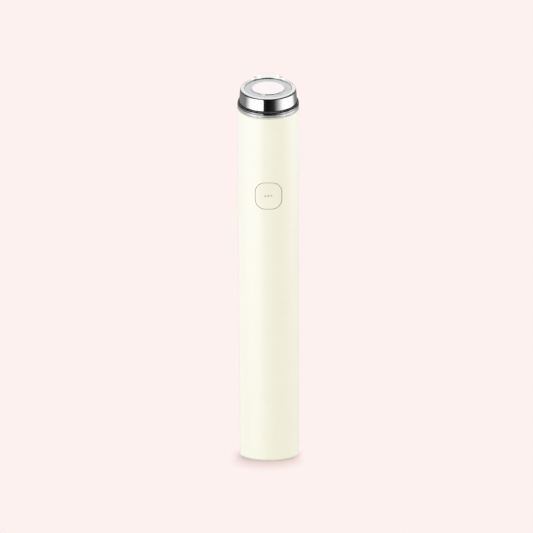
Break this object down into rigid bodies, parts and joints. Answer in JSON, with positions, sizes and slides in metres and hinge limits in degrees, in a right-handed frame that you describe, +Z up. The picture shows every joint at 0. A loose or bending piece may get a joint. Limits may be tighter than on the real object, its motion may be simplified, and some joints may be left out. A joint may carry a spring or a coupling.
{
  "type": "facial toning device",
  "caption": "Slim round hand-held facial toning wand that stands on its foot, with a tilted chrome electrode head around a lit lens, one push button and a charging port.",
  "frame": {"origin": "centre of the foot's rest face, on the body's axis", "axes": "+Z up along the body; -Y to the front, where the button is and the head tilts; +X to the right as seen from behind the button looking along +Y"},
  "size_m": [0.027, 0.027, 0.169],
  "materials": {
    "body_ivory": "satin-gloss ivory moulded plastic",
    "foot_ivory": "fine-textured ivory plastic",
    "button_ivory": "satin-gloss ivory moulded plastic",
    "chrome": "mirror-polished chrome plating",
    "satin_metal": "fine circular brushing, bead-blasted look",
    "frosted_ring": "frosted translucent light ring",
    "lens_opal": "polished opal lens, white with a faint pink cast",
    "black_rubber": "smooth black silicone rubber",
    "black_plastic": "matte black plastic",
    "screw_steel": "zinc-plated steel",
    "port_steel": "drawn stainless steel",
    "board_green": "green solder mask over copper tracks",
    "frame_white": "moulded white plastic",
    "cell_can": "nickel-plated can, drawn",
    "sleeve_blue": "heat-shrunk film",
    "grey_silicone": "soft grey silicone and foam",
    "nickel": "rolled nickel strip and sintered weight",
    "wire_insulation": "silicone wire insulation, red and black",
    "copper": "copper winding and phosphor bronze spring",
    "light_guide": "clear moulded light guide",
    "led_yellow": "phosphor under clear resin",
    "polyimide": "amber polyimide ribbon"
  },
  "bodies": {
    "housing": {"body_tube": "body_ivory", "base_cap": "foot_ivory", "base_screws": "screw_steel", "usb_shell": "port_steel", "usb_tongue": "black_plastic", "charge_board": "board_green", "charge_parts": "black_plastic", "charge_leads": "wire_insulation", "chassis": "frame_white", "battery_cell": "cell_can", "battery_sleeve": "sleeve_blue", "battery_pads": "grey_silicone", "battery_tabs": "nickel", "battery_leads": "wire_insulation", "main_board": "board_green", "board_screws": "screw_steel", "board_chips": "black_plastic", "boost_inductor": "copper", "ribbon_socket": "frame_white", "indicator_leds": "led_yellow", "tact_switch": "black_plastic", "button_gasket": "grey_silicone", "motor_can": "screw_steel", "motor_sleeve": "grey_silicone", "head_carrier": "black_plastic", "carrier_o_ring": "black_rubber", "carrier_screws": "screw_steel", "light_ring": "frosted_ring", "flange_ring": "chrome", "head_gasket": "black_rubber", "electrode_head": "chrome", "inner_ring": "satin_metal", "lens_gasket": "black_rubber", "lens_bezel": "chrome", "lens": "lens_opal", "reflector": "frame_white", "head_board": "frame_white", "head_leds": "led_yellow", "electrode_contacts": "copper", "head_ribbon": "polyimide"},
    "button": {"button_cap": "button_ivory", "button_light_guide": "light_guide"},
    "plunger": {"switch_plunger": "frame_white"},
    "rotor": {"motor_shaft": "screw_steel", "eccentric_weight": "nickel"}
  },
  "joints": [
    {"name": "button_press", "type": "slide", "parent": "housing", "child": "button", "axis": [0, 1, 0], "range_m": [0, 0.0004], "stiffness_N_per_m": 2000, "springref_m": -0.0002},
    {"name": "plunger_press", "type": "slide", "parent": "housing", "child": "plunger", "axis": [0, 1, 0], "range_m": [0, 0.0004]},
    {"name": "motor_spin", "type": "hinge", "parent": "housing", "child": "rotor", "pos_m": [0, 0.004, 0.115], "axis": [0, 0, 1], "continuous": true}
  ],
  "couplings": [
    {"joint": "plunger_press", "follows": "button_press", "ratio": 1}
  ]
}
